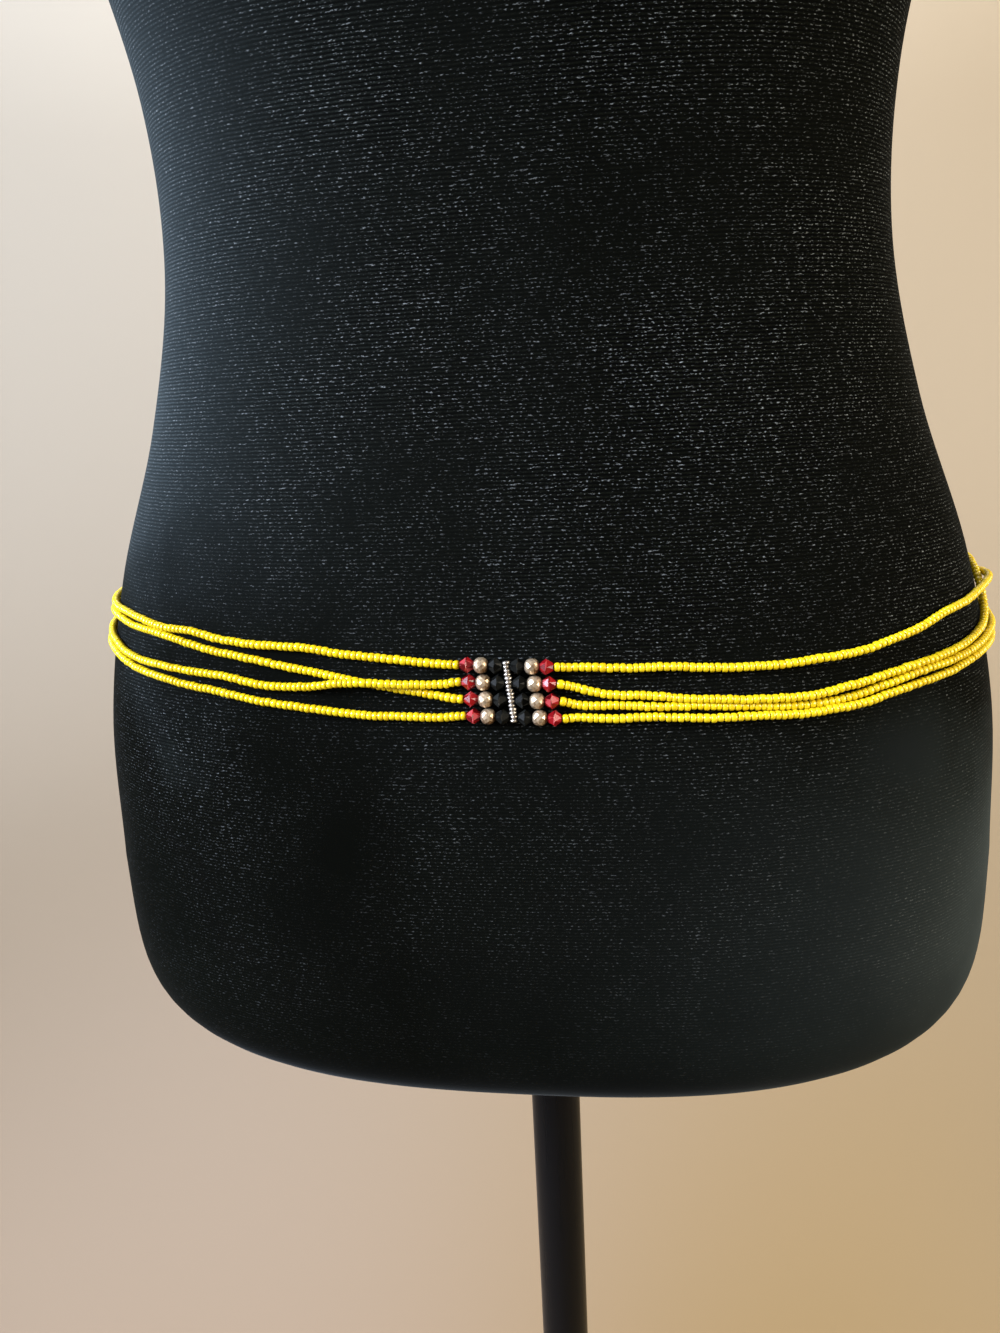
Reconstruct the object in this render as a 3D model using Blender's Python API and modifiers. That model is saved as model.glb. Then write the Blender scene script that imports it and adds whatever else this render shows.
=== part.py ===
"""Beaded waist chain on a limbless dress form, in metres, +Z up, with the front of the form facing -Y.

Four strands of small yellow beads lie round the hip of the form. At the front each strand runs through a row
of crystals on both sides of a silver column. At the back the strands end in two bars joined by a screw clasp.
The origin is on the floor, on the axis of the pole.
"""
import bpy
import numpy as np
from math import atan, atan2, pi, radians, tan
from mathutils import Matrix, Vector

GAP = 0.0003

# The dress form: where its underside hangs over the floor, and its sections from the hip up to the neck
UNDERSIDE = 0.700
FORM_COLUMNS = ("height", "half_width", "front_depth", "back_depth", "squareness")
FORM_SECTIONS = (
    (0.083, 0.1700, 0.1127, 0.1220, 2.65),
    (0.139, 0.1666, 0.1112, 0.1230, 2.65),
    (0.190, 0.1556, 0.1046, 0.1140, 2.65),
    (0.242, 0.1379, 0.0940, 0.0990, 2.65),
    (0.294, 0.1268, 0.0872, 0.0900, 2.65),
    (0.346, 0.1271, 0.0885, 0.0880, 2.65),
    (0.398, 0.1380, 0.0972, 0.0930, 2.65),
    (0.468, 0.1590, 0.1145, 0.1020, 2.65),
    (0.530, 0.1730, 0.1220, 0.1080, 2.60),
    (0.575, 0.1830, 0.1120, 0.1080, 2.50),
    (0.610, 0.1900, 0.0960, 0.1020, 2.40),
    (0.635, 0.1780, 0.0840, 0.0940, 2.30),
    (0.655, 0.1380, 0.0740, 0.0850, 2.20),
    (0.675, 0.0850, 0.0640, 0.0720, 2.10),
    (0.695, 0.0620, 0.0570, 0.0620, 2.00),
    (0.740, 0.0560, 0.0540, 0.0560, 2.00),
)
UNDERSIDE_ROUND = 0.083
UNDERSIDE_POWER = 4.57
UNDERSIDE_FLAT = 0.35
UNDERSIDE_RINGS = (0.012, 0.05, 0.13, 0.26, 0.45, 0.70)
FORM_SIDES = 40
BODY_RINGS = 26
SHOULDER_START = 0.580
SHOULDER_RINGS = 16

# What carries the form
POLE_RADIUS = 0.011
POLE_INSERT = 0.060
BASE_RADIUS = 0.165
BASE_THICK = 0.009
BASE_ROUND = 0.005
BASE_FLOOR = 0.004
COLLAR_RADIUS = 0.019
COLLAR_TOP = 0.040
COLLAR_FILLET = 0.006
CAP_RADIUS = 0.059
CAP_RIM = 0.010
CAP_HEIGHT = 0.030
EDGE = 0.001
STAND_STEPS = 40

# The chain
SEED_DIAMETER = 0.0026
CRYSTAL_DIAMETER = 0.0047
CRYSTAL_LENGTH = 0.00395
CRYSTAL_SIDES = 8
CRYSTAL_ORDER = ("jet_bicone", "champagne_bead", "red_bicone")

# Half of each crystal's outline: its columns are the share of the radius and the share of the half length
BICONE_OUTLINE = ((0.36, 1.0), (1.0, 0.0))
FACETED_OUTLINE = ((0.45, 1.0), (0.86, 0.52), (1.0, 0.14))

# The silver column between the crystals, and the four rows that it stands across
COLUMN_DIAMETER = 0.00225
COLUMN_PITCH = 0.00117
COLUMN_BEADS = 16
COLUMN_STEPS = 12
GROOVE_SHARE = 0.78
RIDGE_SHARES = (0.3, 0.7)
ROW_PITCH = 0.00507
ROW_COUNT = 4
POINT_SPACING = 3
CENTRE_ANGLE = 1.6
CENTRE_HEIGHT = 0.1627
COLUMN_LEAN = 6.5
ROW_DROP = 2.1

# The closure at the back
BAR_HEIGHT = 0.1760
BAR_PITCH = 0.0031
BAR_THICK = 0.0028
BAR_DEPTH = 0.0032
BAR_EDGE = 0.0006
CLASP_RADIUS = 0.0025
CLASP_HALF_LENGTH = 0.0060
CLASP_NECK_RADIUS = 0.0011
CLASP_NECK_LENGTH = 0.0020
CLASP_SHOULDER_RADIUS = 0.0016
CLASP_SHOULDER_LENGTH = 0.0018
CLASP_STEPS = 16

# Each strand from its row of crystals round to the bar: degrees round the form from the front, positive to
# +X, height over the form's underside, and how far the strand is lifted where it lies on another
ROUTE_COLUMNS = ("angle", "height", "lift")
LEFT_ROUTES = (
    ((-9, .1710, .0003), (-16, .1726, 0), (-25, .1739, 0), (-34, .1761, 0), (-43, .1775, 0), (-50, .1793, 0),
     (-58, .1808, 0), (-66, .1818, 0), (-74, .1822, 0), (-95, .1830, 0), (-130, .1825, 0), (-160, .1810, 0)),
    ((-9, .1651, .0008), (-13, .1652, .0020), (-16, .1656, .0028), (-19, .1657, .0031), (-22, .1656, .0032),
     (-25, .1652, .0028), (-28, .1647, .0016), (-31, .1644, .0004), (-36, .1641, 0), (-42, .1655, 0),
     (-49, .1663, 0), (-58, .1676, 0), (-65, .1702, 0), (-72, .1718, 0), (-95, .1740, 0), (-130, .1750, 0),
     (-160, .1747, 0)),
    ((-9, .1616, .0003), (-16, .1636, 0), (-22, .1656, 0), (-28, .1679, 0), (-34, .1703, 0), (-43, .1733, 0),
     (-50, .1758, 0), (-58, .1777, 0), (-66, .1787, 0), (-74, .1791, 0), (-95, .1797, 0), (-130, .1793, 0),
     (-160, .1779, 0)),
    ((-9, .1550, .0003), (-16, .1552, 0), (-25, .1560, 0), (-34, .1580, 0), (-43, .1610, 0), (-50, .1624, 0),
     (-58, .1645, 0), (-65, .1672, 0), (-72, .1687, 0), (-95, .1708, 0), (-130, .1718, 0), (-160, .1716, 0)),
)
RIGHT_ROUTES = (
    ((11, .1696, .0003), (18, .1690, 0), (26, .1683, 0), (34, .1677, 0), (41, .1678, 0), (48, .1691, 0),
     (56, .1730, 0), (62, .1762, .0002), (68, .1778, .0006), (74, .1788, .0018), (77, .1791, .0030),
     (80, .1790, .0032), (84, .1785, .0018), (90, .1778, .0003), (130, .1775, 0), (160, .1776, 0)),
    ((11, .1640, .0003), (16, .1616, 0), (21, .1606, 0), (28, .1594, .0005), (36, .1585, .0012),
     (41, .1582, .0012), (46, .1596, .0008), (51, .1614, 0), (56, .1629, 0), (62, .1643, 0), (68, .1660, 0),
     (72, .1678, 0), (75, .1706, 0), (77, .1743, 0), (79, .1784, 0), (82, .1822, 0), (88, .1835, 0),
     (110, .1830, 0), (135, .1820, 0), (160, .1810, 0)),
    ((11, .1588, .0003), (18, .1577, 0), (28, .1564, 0), (36, .1558, 0), (41, .1553, 0), (46, .1561, 0),
     (51, .1581, 0), (56, .1599, 0), (62, .1613, .0002), (68, .1631, .0008), (74, .1652, .0014),
     (80, .1668, .0006), (95, .1700, 0), (130, .1735, 0), (160, .1745, 0)),
    ((11, .1546, .0003), (18, .1541, 0), (28, .1536, .0012), (36, .1532, .0015), (41, .1527, .0013),
     (46, .1535, .0012), (51, .1551, .0006), (56, .1569, 0), (62, .1583, 0), (68, .1600, .0004),
     (74, .1618, .0008), (80, .1636, .0003), (95, .1668, 0), (130, .1704, 0), (160, .1714, 0)),
)
LEFT_BAR_ORDER = (1, 3, 2, 4)
RIGHT_BAR_ORDER = (2, 1, 3, 4)


def smooth(x, xs, ys):
    """Cubic Hermite through the points (xs, ys), with each point's slope taken from its two neighbours."""
    xs, ys = np.asarray(xs, float), np.asarray(ys, float)
    slope = np.gradient(ys, xs)
    i = np.clip(np.searchsorted(xs, x) - 1, 0, len(xs) - 2)
    step = xs[i + 1] - xs[i]
    t = (x - xs[i]) / step
    near, far = (1 + 2 * t) * (1 - t) ** 2, t * t * (3 - 2 * t)
    leaving, arriving = t * (1 - t) ** 2, t * t * (t - 1)
    return ys[i] * near + ys[i + 1] * far + step * (slope[i] * leaving + slope[i + 1] * arriving)


def section(height):
    """Half width, front depth, back depth and squareness of the form at a height over its underside."""
    rows = np.array(FORM_SECTIONS)
    height = np.asarray(height, float)
    held = np.maximum(height, rows[0, 0])
    shrink = underside_factor(height)
    width, front, back, square = (smooth(held, rows[:, 0], rows[:, k]) for k in range(1, len(FORM_COLUMNS)))
    return width * shrink, front * shrink, back * shrink, square


def underside_factor(height):
    """How much of its full size a section has where the underside rounds away."""
    below = np.clip(1 - np.asarray(height, float) / UNDERSIDE_ROUND, 0, 1)
    return np.maximum(1 - below ** UNDERSIDE_POWER, 0) ** (1 / UNDERSIDE_POWER)


def form_point(angle, height):
    """Point of the form's surface: a superellipse section, read at an angle in radians from the front."""
    width, front, back, square = section(height)
    depth = np.where(np.cos(angle) > 0, front, back)
    side, ahead = np.abs(np.sin(angle) / width), np.abs(np.cos(angle) / depth)
    radius = (side ** square + ahead ** square) ** (-1 / square)
    level = np.broadcast_to(UNDERSIDE + height, radius.shape)
    return np.stack([radius * np.sin(angle), -radius * np.cos(angle), level], axis=-1)


def form_normal(angle, height, step=1e-4):
    """Outward unit normal of the form's surface, from the two slopes at the point."""
    around = form_point(angle + step, height) - form_point(angle - step, height)
    upward = form_point(angle, height + step) - form_point(angle, height - step)
    normal = np.cross(around, upward)
    return normal / np.linalg.norm(normal, axis=-1, keepdims=True)


def on_form(angle, height, clear):
    """Point that stands clear of the form's surface by the given distance along the normal."""
    angle, height = np.asarray(angle, float), np.asarray(height, float)
    return form_point(angle, height) + form_normal(angle, height) * np.asarray(clear)[..., None]


FRONT_RADIUS = float(section(CENTRE_HEIGHT)[1])
REST = SEED_DIAMETER / 2 + GAP
CRYSTAL_REST = CRYSTAL_DIAMETER / 2 + GAP
BAR_REST = BAR_DEPTH / 2 + GAP
ROW_START = COLUMN_DIAMETER / 2 + GAP + CRYSTAL_LENGTH / 2
CRYSTAL_STEP = CRYSTAL_LENGTH + GAP
STRAND_START = ROW_START + 2 * CRYSTAL_STEP + CRYSTAL_LENGTH / 2 + GAP

# The closure's pieces along X, from the middle of the back outwards
CLASP_NEAR = GAP / 2
CLASP_FAR = CLASP_NEAR + CLASP_HALF_LENGTH
BAR_INNER = CLASP_FAR + CLASP_NECK_LENGTH + GAP
BAR_OUTER = BAR_INNER + BAR_THICK
STRAND_END = BAR_OUTER + GAP
BACK_DEPTH = float(section(BAR_HEIGHT)[2])


def row_angle_height(row, along):
    """Angle and height on row 0 to 3 at a distance from the column, positive towards +X."""
    down = (row - (ROW_COUNT - 1) / 2) * ROW_PITCH
    across = along + down * tan(radians(COLUMN_LEAN))
    height = CENTRE_HEIGHT - down - along * tan(radians(ROW_DROP))
    return radians(CENTRE_ANGLE) + across / FRONT_RADIUS, height


def row_point(row, along):
    angle, height = row_angle_height(row, along)
    return Vector(on_form(angle, height, CRYSTAL_REST))


def strand_points(row, side):
    """Centre line of half a strand, from its crystals to the bar. A side of -1 is the left, 1 the right."""
    table = (LEFT_ROUTES if side < 0 else RIGHT_ROUTES)[row]
    order = LEFT_BAR_ORDER if side < 0 else RIGHT_BAR_ORDER
    lift_at_row = CRYSTAL_REST - REST
    starts = [row_angle_height(row, side * (STRAND_START + run)) + (lift_at_row,) for run in (0, EDGE)]
    turns = [(radians(angle), height, lift) for angle, height, lift in table]
    hole = BAR_HEIGHT + ((ROW_COUNT - 1) / 2 - order.index(row + 1)) * BAR_PITCH
    ends = [(side * (pi - atan(away / BACK_DEPTH)), hole, BAR_REST - REST)
            for away in (STRAND_END + BAR_THICK, STRAND_END)]
    rows = np.array(starts + turns + ends)
    rough = on_form(rows[:, 0], rows[:, 1], REST + rows[:, 2])
    travelled = np.concatenate([[0], np.cumsum(np.linalg.norm(np.diff(rough, axis=0), axis=1))])
    count = int(np.ceil(travelled[-1] / (POINT_SPACING * SEED_DIAMETER))) + 1
    stations = np.linspace(0, travelled[-1], count)
    angle, height, lift = (smooth(stations, travelled, rows[:, k]) for k in range(len(ROUTE_COLUMNS)))
    return on_form(angle, height, REST + np.maximum(lift, 0))


def collection(name):
    group = bpy.data.collections.new(name)
    bpy.context.scene.collection.children.link(group)
    return group


def material(name, colour, roughness, metallic=0.0):
    """Principled material, made once and then shared by the pieces of that finish."""
    made = bpy.data.materials.get(name)
    if made:
        return made
    made = bpy.data.materials.new(name)
    made.use_nodes = True
    shader = made.node_tree.nodes["Principled BSDF"]
    shader.inputs["Base Color"].default_value = (*colour, 1)
    shader.inputs["Roughness"].default_value = roughness
    shader.inputs["Metallic"].default_value = metallic
    made.diffuse_color = (*colour, 1)
    return made


def place(name, data, finish, group):
    piece = bpy.data.objects.new(name, data)
    data.materials.append(finish)
    group.objects.link(piece)
    return piece


def turned(name, profile, steps, finish, group, soft=True):
    """Solid turned round Z. The profile's (radius, height) points run down its outside, from axis to axis."""
    mesh = bpy.data.meshes.new(name)
    points = [(radius, 0, height) for radius, height in profile]
    mesh.from_pydata(points, [(k, k + 1) for k in range(len(points) - 1)], [])
    piece = place(name, mesh, finish, group)
    screw = piece.modifiers.new("turn", "SCREW")
    screw.steps = screw.render_steps = steps
    screw.use_merge_vertices = True
    screw.merge_threshold = 0.00001
    screw.use_smooth_shade = soft
    return piece


def aim(piece, centre, direction):
    """Puts a turned piece at its place, with its axis along the direction."""
    piece.location = centre
    piece.rotation_mode = "QUATERNION"
    piece.rotation_quaternion = Vector(direction).to_track_quat("Z", "Y")


def move_to(thing, group):
    for owner in list(thing.users_collection):
        owner.objects.unlink(thing)
    group.objects.link(thing)


def cutter(name, radius, low, high, group):
    """Upright cylinder on the pole's axis, kept out of the model."""
    bpy.ops.mesh.primitive_cylinder_add(radius=radius, depth=high - low, vertices=STAND_STEPS)
    tool = bpy.context.object
    tool.name = name
    tool.location = (0, 0, (low + high) / 2)
    move_to(tool, group)
    tool.hide_render = True
    tool.display_type = "WIRE"
    return tool


def make_torso(group, cutters):
    """Closed loft of the form's sections, with a blind socket for the pole."""
    top = FORM_SECTIONS[-1][0]
    rise = UNDERSIDE_ROUND * np.array(UNDERSIDE_RINGS)
    lowest = UNDERSIDE_ROUND * (1 - (1 - UNDERSIDE_FLAT ** UNDERSIDE_POWER) ** (1 / UNDERSIDE_POWER))
    body = np.linspace(UNDERSIDE_ROUND, SHOULDER_START, BODY_RINGS)
    shoulders = np.linspace(SHOULDER_START, top, SHOULDER_RINGS + 1)[1:]
    heights = np.concatenate([[lowest], rise, body, shoulders])
    angles = np.linspace(-pi, pi, FORM_SIDES, endpoint=False)
    grid = form_point(angles[None, :], heights[:, None])
    grid[0, :, 2] = UNDERSIDE
    corner = np.arange(grid.shape[0] * FORM_SIDES).reshape(grid.shape[:2])
    beside = np.roll(corner, -1, axis=1)
    walls = np.stack([corner[:-1], beside[:-1], beside[1:], corner[1:]], axis=-1).reshape(-1, 4)
    mesh = bpy.data.meshes.new("form_torso")
    faces = walls.tolist() + [corner[0, ::-1].tolist(), corner[-1].tolist()]
    mesh.from_pydata(grid.reshape(-1, 3).tolist(), [], faces)
    mesh.shade_smooth()
    torso = place("form_torso", mesh, material("black_velvet", (0.012, 0.013, 0.016), 0.85), group)
    socket = torso.modifiers.new("pole_socket", "BOOLEAN")
    socket.solver = "EXACT"
    floor = UNDERSIDE + POLE_INSERT + GAP
    socket.object = cutter("cut_pole_socket", POLE_RADIUS + GAP, UNDERSIDE - POLE_INSERT, floor, cutters)


def arc(centre, radii, start, end, count=6):
    """Points on an arc of an ellipse in the profile's plane, between two angles in degrees."""
    angles = np.radians(np.linspace(start, end, count))
    return list(zip(centre[0] + radii[0] * np.cos(angles), centre[1] + radii[1] * np.sin(angles)))


def make_stand(group):
    """Neck cap, pole, and the round base with the collar that the pole stands in."""
    black = material("black_enamel", (0.01, 0.01, 0.011), 0.25)
    low = UNDERSIDE + FORM_SECTIONS[-1][0] + GAP
    high = UNDERSIDE + FORM_SECTIONS[-1][0] + CAP_HEIGHT
    rim = low + CAP_RIM
    cap = arc((0, rim), (CAP_RADIUS, high - rim), 90, 0)
    cap += [(CAP_RADIUS, low + EDGE), (CAP_RADIUS - EDGE, low), (0, low)]
    turned("form_neck_cap", cap, STAND_STEPS, black, group)

    foot = BASE_FLOOR + GAP
    head = UNDERSIDE + POLE_INSERT
    pole = [(0, head), (POLE_RADIUS - EDGE, head), (POLE_RADIUS, head - EDGE), (POLE_RADIUS, foot + EDGE),
            (POLE_RADIUS - EDGE, foot), (0, foot)]
    turned("form_pole", pole, STAND_STEPS, material("black_steel", (0.008, 0.008, 0.009), 0.12), group)

    bore = POLE_RADIUS + GAP
    base = [(0, BASE_FLOOR), (bore, BASE_FLOOR), (bore, COLLAR_TOP), (COLLAR_RADIUS - EDGE, COLLAR_TOP),
            (COLLAR_RADIUS, COLLAR_TOP - EDGE)]
    base += arc((COLLAR_RADIUS + COLLAR_FILLET, BASE_THICK + COLLAR_FILLET), (COLLAR_FILLET,) * 2, 180, 270)
    base += arc((BASE_RADIUS - BASE_ROUND, BASE_THICK - BASE_ROUND), (BASE_ROUND,) * 2, 90, 0)
    base += [(BASE_RADIUS, EDGE), (BASE_RADIUS - EDGE, 0), (0, 0)]
    turned("form_base", base, STAND_STEPS, black, group)


def crystal_profile(outline):
    """Whole outline of a crystal from tip to tip, from the shares in the outline of one half."""
    half, radius = CRYSTAL_LENGTH / 2, CRYSTAL_DIAMETER / 2
    upper = [(0, half)] + [(radius * out, half * along) for out, along in outline]
    lower = [(out, -along) for out, along in reversed(upper) if along > 0]
    return upper + lower


def make_crystals(group):
    """On both sides of the column and in every row: a jet bicone, a champagne bead and a red bicone."""
    looks = {
        "red_bicone": (BICONE_OUTLINE, material("red_glass", (0.45, 0.005, 0.008), 0.06)),
        "champagne_bead": (FACETED_OUTLINE, material("champagne_glass", (0.62, 0.45, 0.25), 0.12, 0.8)),
        "jet_bicone": (BICONE_OUTLINE, material("jet_glass", (0.006, 0.006, 0.007), 0.05)),
    }
    for row in range(ROW_COUNT):
        for side, side_name in ((-1, "left"), (1, "right")):
            for nth, kind in enumerate(CRYSTAL_ORDER):
                outline, finish = looks[kind]
                along = side * (ROW_START + nth * CRYSTAL_STEP)
                name = f"{kind}_{row + 1}_{side_name}"
                bead = turned(name, crystal_profile(outline), CRYSTAL_SIDES, finish, group, soft=False)
                aim(bead, row_point(row, along), row_point(row, along + EDGE) - row_point(row, along - EDGE))


def make_column(group):
    """Silver column: ring beads threaded end to end, made as one turned piece with a ridge for each bead."""
    radius, length = COLUMN_DIAMETER / 2, COLUMN_BEADS * COLUMN_PITCH
    groove = radius * GROOVE_SHARE
    profile = [(0, length / 2)]
    for bead in range(COLUMN_BEADS):
        top = length / 2 - bead * COLUMN_PITCH
        profile += [(groove, top)] + [(radius, top - share * COLUMN_PITCH) for share in RIDGE_SHARES]
    profile += [(groove, -length / 2), (0, -length / 2)]
    silver = material("silver_metal", (0.75, 0.75, 0.76), 0.2, 1.0)
    column = turned("silver_column", profile, COLUMN_STEPS, silver, group)
    first, last = row_point(0, 0), row_point(ROW_COUNT - 1, 0)
    aim(column, (first + last) / 2, first - last)


def make_strands(group):
    yellow = material("yellow_seed_beads", (0.90, 0.75, 0.0), 0.25)
    for row in range(ROW_COUNT):
        for side, side_name in ((-1, "left"), (1, "right")):
            points = strand_points(row, side)
            name = f"strand_{row + 1}_{side_name}"
            curve = bpy.data.curves.new(name, "CURVE")
            curve.dimensions = "3D"
            spline = curve.splines.new("POLY")
            spline.points.add(len(points) - 1)
            spline.points.foreach_set("co", np.column_stack([points, np.ones(len(points))]).ravel())
            curve.bevel_depth = SEED_DIAMETER / 2
            curve.bevel_resolution = 2
            curve.use_fill_caps = True
            place(name, curve, yellow, group)


def make_closure(group):
    """Two end bars and the fastened barrel clasp between them, level along the middle of the back."""
    silver = material("silver_metal", (0.75, 0.75, 0.76), 0.2, 1.0)
    bar_y, bar_z = on_form(pi, BAR_HEIGHT, BAR_REST)[1:]
    outward = form_normal(pi, BAR_HEIGHT)
    bar_tilt = atan2(outward[2], outward[1])
    clasp_centre = on_form(pi, BAR_HEIGHT, CLASP_RADIUS + GAP)
    neck_end = CLASP_FAR + CLASP_NECK_LENGTH
    profile = [(0, neck_end), (CLASP_NECK_RADIUS, neck_end), (CLASP_NECK_RADIUS, CLASP_FAR),
               (CLASP_SHOULDER_RADIUS, CLASP_FAR), (CLASP_RADIUS, CLASP_FAR - CLASP_SHOULDER_LENGTH),
               (CLASP_RADIUS, CLASP_NEAR + BAR_EDGE), (CLASP_RADIUS - BAR_EDGE / 2, CLASP_NEAR),
               (0, CLASP_NEAR)]
    for side, name in ((-1, "clasp_socket_half"), (1, "clasp_screw_half")):
        half = turned(name, profile, CLASP_STEPS, silver, group)
        aim(half, clasp_centre, (side, 0, 0))
    tall = (ROW_COUNT - 1) * BAR_PITCH + SEED_DIAMETER + 2 * BAR_EDGE
    for side, side_name in ((-1, "left"), (1, "right")):
        bpy.ops.mesh.primitive_cube_add(size=1)
        bar = bpy.context.object
        bar.name = bar.data.name = f"end_bar_{side_name}"
        bar.data.transform(Matrix.Diagonal((BAR_THICK, BAR_DEPTH, tall, 1)))
        bar.data.materials.append(silver)
        bar.location = (side * (BAR_INNER + BAR_OUTER) / 2, bar_y, bar_z)
        bar.rotation_euler.x = bar_tilt
        move_to(bar, group)


def main():
    for thing in list(bpy.data.objects):
        bpy.data.objects.remove(thing)
    parts = collection("beaded_waist_chain_on_dress_form")
    cutters = collection("cutters")
    make_torso(parts, cutters)
    make_stand(parts)
    make_column(parts)
    make_crystals(parts)
    make_strands(parts)
    make_closure(parts)


main()
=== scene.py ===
"""Looks of a beaded waist chain on its dress form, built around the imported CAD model.

Four strands of yellow glass seed beads, with a centrepiece of cut glass beads, lie round the hip of a
limbless form covered in black velvet. Lengths are in metres, +Z is up and the front of the form faces -Y.
"""

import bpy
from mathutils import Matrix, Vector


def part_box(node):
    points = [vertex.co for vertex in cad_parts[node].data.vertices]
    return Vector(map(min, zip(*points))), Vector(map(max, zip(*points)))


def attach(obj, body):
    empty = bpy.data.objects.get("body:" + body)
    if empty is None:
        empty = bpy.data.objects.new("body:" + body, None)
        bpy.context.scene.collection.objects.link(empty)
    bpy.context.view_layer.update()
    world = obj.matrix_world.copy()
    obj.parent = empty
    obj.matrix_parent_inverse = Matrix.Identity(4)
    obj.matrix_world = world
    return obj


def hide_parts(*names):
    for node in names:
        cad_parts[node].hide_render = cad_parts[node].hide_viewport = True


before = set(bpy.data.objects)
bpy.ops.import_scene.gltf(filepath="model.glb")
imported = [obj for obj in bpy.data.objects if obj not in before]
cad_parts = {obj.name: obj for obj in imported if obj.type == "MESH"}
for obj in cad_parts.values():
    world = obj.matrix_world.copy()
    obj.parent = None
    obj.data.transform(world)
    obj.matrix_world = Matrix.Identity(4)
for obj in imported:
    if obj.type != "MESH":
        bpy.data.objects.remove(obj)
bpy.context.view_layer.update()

from functools import partial
from math import atan, atan2, cos, pi, radians, sin, tan

import bpy
import numpy as np
from bpy.props import FloatProperty, FloatVectorProperty, IntProperty, PointerProperty
from mathutils import Matrix, Vector

bl_info = {
    "name": "Beaded Waist Chain",
    "version": (1, 0, 0),
    "blender": (4, 5, 0),
    "location": "View3D > Sidebar > Waist Chain",
    "description": "Dresses a waist chain and its form with beads, cut glass, velvet and a small studio",
    "category": "Object",
}

GAP = 0.0003
SIDES = ((-1, "left"), (1, "right"))

# The form's sections over its underside, as the CAD model has them
UNDERSIDE = 0.700
FORM_COLUMNS = ("height", "half_width", "front_depth", "back_depth", "squareness")
FORM_SECTIONS = (
    (0.083, 0.1700, 0.1127, 0.1220, 2.65),
    (0.139, 0.1666, 0.1112, 0.1230, 2.65),
    (0.190, 0.1556, 0.1046, 0.1140, 2.65),
    (0.242, 0.1379, 0.0940, 0.0990, 2.65),
    (0.294, 0.1268, 0.0872, 0.0900, 2.65),
    (0.346, 0.1271, 0.0885, 0.0880, 2.65),
    (0.398, 0.1380, 0.0972, 0.0930, 2.65),
    (0.468, 0.1590, 0.1145, 0.1020, 2.65),
    (0.530, 0.1730, 0.1220, 0.1080, 2.60),
    (0.575, 0.1830, 0.1120, 0.1080, 2.50),
    (0.610, 0.1900, 0.0960, 0.1020, 2.40),
    (0.635, 0.1780, 0.0840, 0.0940, 2.30),
    (0.655, 0.1380, 0.0740, 0.0850, 2.20),
    (0.675, 0.0850, 0.0640, 0.0720, 2.10),
    (0.695, 0.0620, 0.0570, 0.0620, 2.00),
    (0.740, 0.0560, 0.0540, 0.0560, 2.00),
)
FORM_HEIGHT = FORM_SECTIONS[-1][0]
UNDERSIDE_ROUND = 0.083
UNDERSIDE_POWER = 4.57
UNDERSIDE_FLAT = 0.35
SOCKET_DEPTH = 0.060

# Heights between which the velvet's ribs, and the painted glints on them, grow from faint at the
# underside to full
RIBS_FAINT, RIBS_FULL = UNDERSIDE + 0.02, UNDERSIDE + 0.22

# Heights between which the painted side light on the velvet crosses over: below them the right flank is
# painted lighter, above them the left, as light falls there
LIT_RIGHT_BELOW, LIT_LEFT_ABOVE = UNDERSIDE + 0.14, UNDERSIDE + 0.30

# The chain's own layout, as the CAD model has it
SOLID_SEED_RADIUS = 0.0013
SOLID_CRYSTAL_RADIUS = 0.00235
SOLID_CRYSTAL_LENGTH = 0.00395
SOLID_COLUMN_RADIUS = 0.001125
ROW_PITCH = 0.00507
ROW_COUNT = 4
CENTRE_ANGLE = 1.6
CENTRE_HEIGHT = 0.1627
COLUMN_LEAN = 6.5
ROW_DROP = 2.1
BAR_HEIGHT = 0.1760
BAR_PITCH = 0.0031
BAR_THICK = 0.0028
BAR_DEPTH = 0.0032
BAR_OUTER = 0.01125
CLASP_RADIUS = 0.0025

# Each strand's route from its crystals round to the bar at the back: degrees round the form from the front,
# positive to +X, height over the form's underside, and how far it is lifted where it lies on another strand
ROUTE_COLUMNS = ("angle", "height", "lift")
LEFT_ROUTES = (
    ((-9, .1710, .0003), (-16, .1726, 0), (-25, .1739, 0), (-34, .1761, 0), (-43, .1775, 0), (-50, .1793, 0),
     (-58, .1808, 0), (-66, .1818, 0), (-74, .1822, 0), (-95, .1830, 0), (-130, .1825, 0), (-160, .1810, 0)),
    ((-9, .1651, .0008), (-13, .1652, .0020), (-16, .1656, .0028), (-19, .1657, .0031), (-22, .1656, .0032),
     (-25, .1652, .0028), (-28, .1647, .0016), (-31, .1644, .0004), (-36, .1641, 0), (-42, .1655, 0),
     (-49, .1663, 0), (-58, .1676, 0), (-65, .1702, 0), (-72, .1718, 0), (-95, .1740, 0), (-130, .1750, 0),
     (-160, .1747, 0)),
    ((-9, .1616, .0003), (-16, .1636, 0), (-22, .1656, 0), (-28, .1679, 0), (-34, .1703, 0), (-43, .1733, 0),
     (-50, .1758, 0), (-58, .1777, 0), (-66, .1787, 0), (-74, .1791, 0), (-95, .1797, 0), (-130, .1793, 0),
     (-160, .1779, 0)),
    ((-9, .1550, .0003), (-16, .1552, 0), (-25, .1560, 0), (-34, .1580, 0), (-43, .1610, 0), (-50, .1624, 0),
     (-58, .1645, 0), (-65, .1672, 0), (-72, .1687, 0), (-95, .1708, 0), (-130, .1718, 0), (-160, .1716, 0)),
)
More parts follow.
